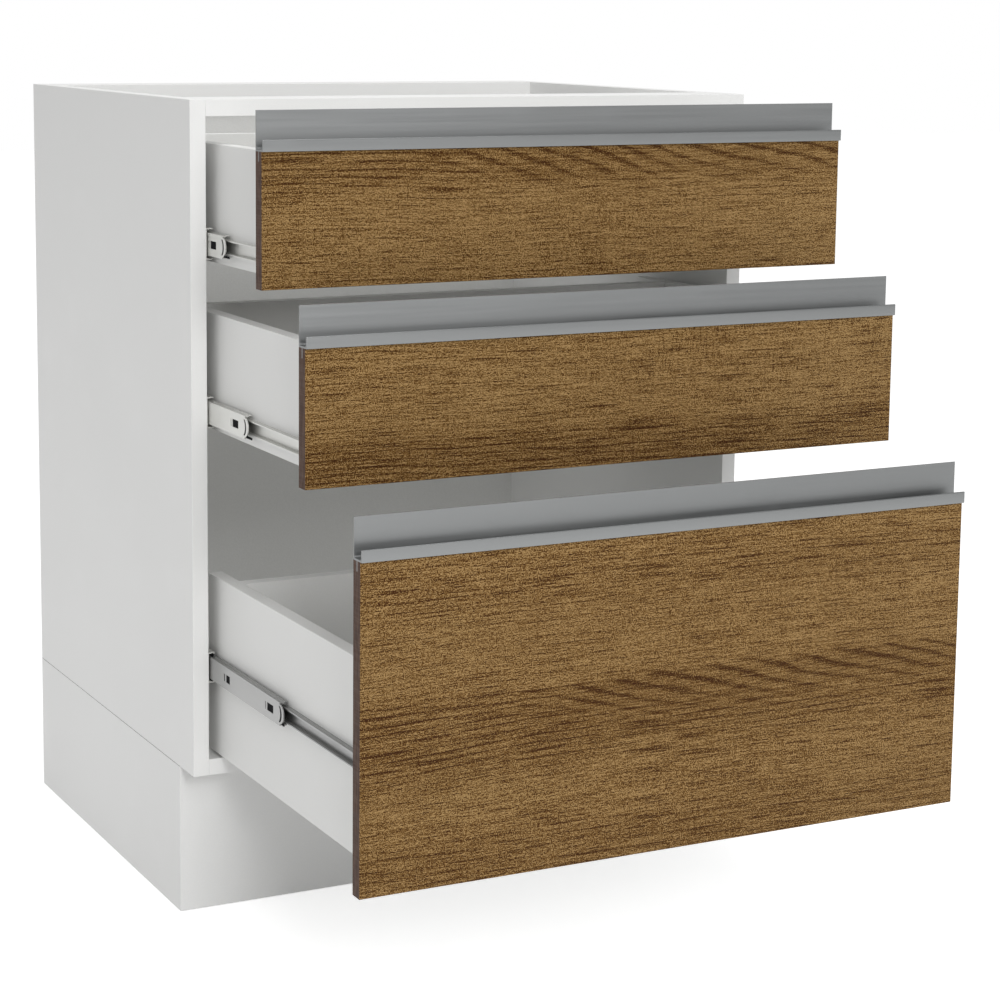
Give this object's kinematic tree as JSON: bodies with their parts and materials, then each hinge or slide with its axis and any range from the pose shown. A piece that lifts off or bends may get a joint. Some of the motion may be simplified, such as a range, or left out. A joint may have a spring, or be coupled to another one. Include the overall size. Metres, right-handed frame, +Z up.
{
  "type": "base cabinet with drawers",
  "caption": "Floor-standing base cabinet on a recessed plinth, with drawers on ball-bearing runners and full-width aluminium lip handles along the fronts.",
  "frame": {"origin": "on the floor, in the wall plane, half way along the cabinet", "axes": "+Z up, +Y towards the wall, +X to the right of someone facing the drawers"},
  "size_m": [0.7, 1.0005, 0.916],
  "materials": {
    "carcass_board": "matt white coated particle board",
    "plinth_board": "matt white coated particle board",
    "back_board": "white painted hardboard",
    "box_board": "matt white coated particle board",
    "oak_decor": "brown oak decor with a fine textured grain",
    "beech_dowel": "turned beech",
    "pine_block": "planed pine",
    "handle_aluminium": "satin anodised",
    "runner_steel": "bright zinc plated",
    "zinc_steel": "zinc plated",
    "cast_zinc": "die-cast zinc"
  },
  "bodies": {
    "carcass": {"side_panel_left": "carcass_board", "side_panel_right": "carcass_board", "bottom_panel": "carcass_board", "front_rail": "carcass_board", "back_rail": "carcass_board", "back_panel": "back_board", "carcass_dowels": "beech_dowel", "cam_bolts": "zinc_steel", "cam_fittings": "cast_zinc", "plinth_front": "plinth_board", "plinth_side_left": "plinth_board", "plinth_side_right": "plinth_board", "plinth_back": "plinth_board", "plinth_corner_blocks": "pine_block", "plinth_screws": "zinc_steel", "cabinet_channels": "runner_steel", "cabinet_channel_screws": "zinc_steel"},
    "upper_drawer": {"upper_front_panel": "oak_decor", "upper_handle_profile": "handle_aluminium", "upper_box_side_left": "box_board", "upper_box_side_right": "box_board", "upper_box_front": "box_board", "upper_box_back": "box_board", "upper_box_bottom": "box_board", "upper_drawer_channels": "runner_steel", "upper_drawer_channel_screws": "zinc_steel", "upper_front_screws": "zinc_steel", "upper_box_dowels": "beech_dowel"},
    "upper_middle_channels": {"upper_middle_channels": "runner_steel"},
    "upper_outer_ball_cages": {"upper_outer_ball_cages": "runner_steel"},
    "upper_inner_ball_cages": {"upper_inner_ball_cages": "runner_steel"},
    "centre_drawer": {"centre_front_panel": "oak_decor", "centre_handle_profile": "handle_aluminium", "centre_box_side_left": "box_board", "centre_box_side_right": "box_board", "centre_box_front": "box_board", "centre_box_back": "box_board", "centre_box_bottom": "box_board", "centre_drawer_channels": "runner_steel", "centre_drawer_channel_screws": "zinc_steel", "centre_front_screws": "zinc_steel", "centre_box_dowels": "beech_dowel"},
    "centre_middle_channels": {"centre_middle_channels": "runner_steel"},
    "centre_outer_ball_cages": {"centre_outer_ball_cages": "runner_steel"},
    "centre_inner_ball_cages": {"centre_inner_ball_cages": "runner_steel"},
    "deep_drawer": {"deep_front_panel": "oak_decor", "deep_handle_profile": "handle_aluminium", "deep_box_side_left": "box_board", "deep_box_side_right": "box_board", "deep_box_front": "box_board", "deep_box_back": "box_board", "deep_box_bottom": "box_board", "deep_drawer_channels": "runner_steel", "deep_drawer_channel_screws": "zinc_steel", "deep_front_screws": "zinc_steel", "deep_box_dowels": "beech_dowel"},
    "deep_middle_channels": {"deep_middle_channels": "runner_steel"},
    "deep_outer_ball_cages": {"deep_outer_ball_cages": "runner_steel"},
    "deep_inner_ball_cages": {"deep_inner_ball_cages": "runner_steel"}
  },
  "joints": [
    {"name": "upper_drawer_slide", "type": "slide", "parent": "carcass", "child": "upper_drawer", "axis": [0, -1, 0], "range_m": [-0.18, 0.27]},
    {"name": "upper_middle_channels_slide", "type": "slide", "parent": "carcass", "child": "upper_middle_channels", "axis": [0, -1, 0], "range_m": [-0.09, 0.135]},
    {"name": "upper_outer_ball_cages_slide", "type": "slide", "parent": "carcass", "child": "upper_outer_ball_cages", "axis": [0, -1, 0], "range_m": [-0.045, 0.0675]},
    {"name": "upper_inner_ball_cages_slide", "type": "slide", "parent": "carcass", "child": "upper_inner_ball_cages", "axis": [0, -1, 0], "range_m": [-0.135, 0.2025]},
    {"name": "centre_drawer_slide", "type": "slide", "parent": "carcass", "child": "centre_drawer", "axis": [0, -1, 0], "range_m": [-0.29, 0.16]},
    {"name": "centre_middle_channels_slide", "type": "slide", "parent": "carcass", "child": "centre_middle_channels", "axis": [0, -1, 0], "range_m": [-0.145, 0.08]},
    {"name": "centre_outer_ball_cages_slide", "type": "slide", "parent": "carcass", "child": "centre_outer_ball_cages", "axis": [0, -1, 0], "range_m": [-0.0725, 0.04]},
    {"name": "centre_inner_ball_cages_slide", "type": "slide", "parent": "carcass", "child": "centre_inner_ball_cages", "axis": [0, -1, 0], "range_m": [-0.2175, 0.12]},
    {"name": "deep_drawer_slide", "type": "slide", "parent": "carcass", "child": "deep_drawer", "axis": [0, -1, 0], "range_m": [-0.42, 0.03]},
    {"name": "deep_middle_channels_slide", "type": "slide", "parent": "carcass", "child": "deep_middle_channels", "axis": [0, -1, 0], "range_m": [-0.21, 0.015]},
    {"name": "deep_outer_ball_cages_slide", "type": "slide", "parent": "carcass", "child": "deep_outer_ball_cages", "axis": [0, -1, 0], "range_m": [-0.105, 0.0075]},
    {"name": "deep_inner_ball_cages_slide", "type": "slide", "parent": "carcass", "child": "deep_inner_ball_cages", "axis": [0, -1, 0], "range_m": [-0.315, 0.0225]}
  ],
  "couplings": [
    {"joint": "upper_middle_channels_slide", "follows": "upper_drawer_slide", "ratio": 0.5},
    {"joint": "upper_outer_ball_cages_slide", "follows": "upper_drawer_slide", "ratio": 0.25},
    {"joint": "upper_inner_ball_cages_slide", "follows": "upper_drawer_slide", "ratio": 0.75},
    {"joint": "centre_middle_channels_slide", "follows": "centre_drawer_slide", "ratio": 0.5},
    {"joint": "centre_outer_ball_cages_slide", "follows": "centre_drawer_slide", "ratio": 0.25},
    {"joint": "centre_inner_ball_cages_slide", "follows": "centre_drawer_slide", "ratio": 0.75},
    {"joint": "deep_middle_channels_slide", "follows": "deep_drawer_slide", "ratio": 0.5},
    {"joint": "deep_outer_ball_cages_slide", "follows": "deep_drawer_slide", "ratio": 0.25},
    {"joint": "deep_inner_ball_cages_slide", "follows": "deep_drawer_slide", "ratio": 0.75}
  ]
}
